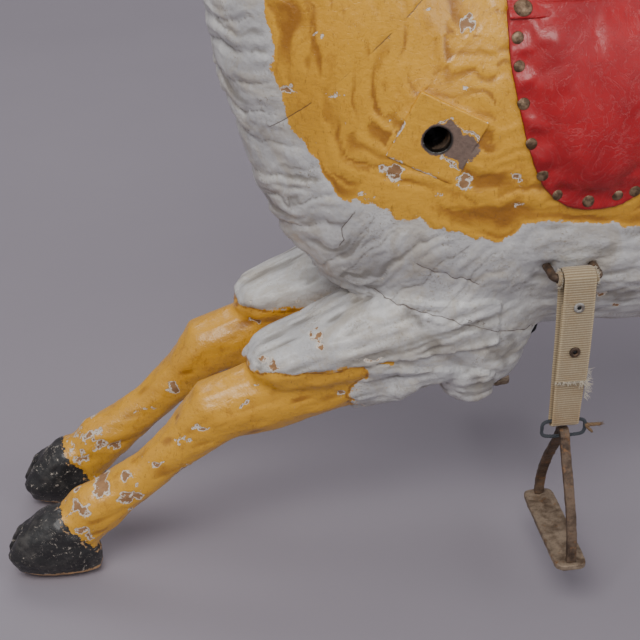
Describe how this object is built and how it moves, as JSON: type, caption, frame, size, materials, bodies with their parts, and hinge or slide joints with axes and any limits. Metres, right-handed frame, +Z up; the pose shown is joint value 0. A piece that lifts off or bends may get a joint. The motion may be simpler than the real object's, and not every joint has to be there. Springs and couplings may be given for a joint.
{
  "type": "kiddie ride figure",
  "caption": "Carved and painted leaping deer for a children's ride, with a padded saddle, webbing straps and swinging iron stirrups, standing on its hooves.",
  "frame": {"origin": "on the floor, under the middle of the figure's bounding box", "axes": "+Z up, the deer faces -X, its right side is at +Y"},
  "size_m": [0.9238, 0.358, 1.0012],
  "materials": {
    "ochre_paint": "glossy ochre enamel over carved wood, chipped",
    "white_paint": "worn white enamel over carved wood",
    "bare_wood": "unpainted hardwood",
    "antler_paint": "brown painted wood",
    "eye_glass": "polished dark glass",
    "rusty_steel": "rusty, worn",
    "black_steel": "black enamel, worn",
    "red_leather": "glossy red, creased",
    "nail_brass": "darkened bronze",
    "webbing": "ribbed cotton",
    "twine": "dark twisted twine"
  },
  "bodies": {
    "figure": {"back_dowel": "bare_wood", "belly_bracket": "black_steel", "chest_dowel": "bare_wood", "front_shaft_sleeve": "rusty_steel", "head_block": "ochre_paint", "left_antler": "antler_paint", "left_bracket_screw": "black_steel", "left_ear": "ochre_paint", "left_eye": "eye_glass", "left_front_leg": "ochre_paint", "left_front_leg_dowel": "bare_wood", "left_front_shaft_plate": "ochre_paint", "left_front_skirt_nail": "nail_brass", "left_head_dowel": "bare_wood", "left_neck_dowel": "bare_wood", "left_rear_leg": "ochre_paint", "left_rear_leg_dowel": "bare_wood", "left_rear_shaft_plate": "ochre_paint", "left_rear_skirt_nail": "nail_brass", "left_saddle_flap": "red_leather", "left_strap_hanger": "rusty_steel", "left_torso_half": "ochre_paint", "neck_block": "ochre_paint", "rear_shaft_sleeve": "rusty_steel", "right_antler": "antler_paint", "right_bracket_screw": "black_steel", "right_ear": "ochre_paint", "right_eye": "eye_glass", "right_front_leg": "ochre_paint", "right_front_leg_dowel": "bare_wood", "right_front_shaft_plate": "ochre_paint", "right_front_skirt_nail": "nail_brass", "right_head_dowel": "bare_wood", "right_neck_dowel": "bare_wood", "right_rear_leg": "ochre_paint", "right_rear_leg_dowel": "bare_wood", "right_rear_shaft_plate": "ochre_paint", "right_rear_skirt_nail": "nail_brass", "right_saddle_flap": "red_leather", "right_strap_hanger": "rusty_steel", "right_torso_half": "ochre_paint", "rump_dowel": "bare_wood", "saddle_seat": "red_leather", "saddle_skirt": "red_leather", "seat_board": "bare_wood", "tail": "white_paint"},
    "left_strap_set": {"left_strap": "webbing", "left_upper_strap_rivet": "rusty_steel", "left_lower_strap_rivet": "rusty_steel"},
    "left_tie_ring": {"left_tie": "twine"},
    "left_stirrup": {"left_stirrup_bow": "rusty_steel", "left_stirrup_tread": "rusty_steel"},
    "right_strap_set": {"right_strap": "webbing", "right_upper_strap_rivet": "rusty_steel", "right_lower_strap_rivet": "rusty_steel"},
    "right_tie_ring": {"right_tie": "twine"},
    "right_stirrup": {"right_stirrup_bow": "rusty_steel", "right_stirrup_tread": "rusty_steel"}
  },
  "joints": [
    {"name": "left_strap_swing", "type": "hinge", "parent": "figure", "child": "left_strap_set", "pos_m": [0.001, -0.125, 0.293], "axis": [-1, 0, 0], "range_deg": [-6, 75]},
    {"name": "left_tie_swing", "type": "hinge", "parent": "left_strap_set", "child": "left_tie_ring", "pos_m": [0.001, -0.125, 0.1621], "axis": [-1, 0, 0], "range_deg": [-24, 24]},
    {"name": "left_stirrup_swing", "type": "hinge", "parent": "left_tie_ring", "child": "left_stirrup", "pos_m": [0.001, -0.125, 0.1471], "axis": [0, 1, 0], "range_deg": [-15, 15]},
    {"name": "right_strap_swing", "type": "hinge", "parent": "figure", "child": "right_strap_set", "pos_m": [0.001, 0.125, 0.293], "axis": [1, 0, 0], "range_deg": [-6, 75]},
    {"name": "right_tie_swing", "type": "hinge", "parent": "right_strap_set", "child": "right_tie_ring", "pos_m": [0.001, 0.125, 0.1861], "axis": [1, 0, 0], "range_deg": [-24, 24]},
    {"name": "right_stirrup_swing", "type": "hinge", "parent": "right_tie_ring", "child": "right_stirrup", "pos_m": [0.001, 0.125, 0.1711], "axis": [0, 1, 0], "range_deg": [-15, 15]}
  ]
}
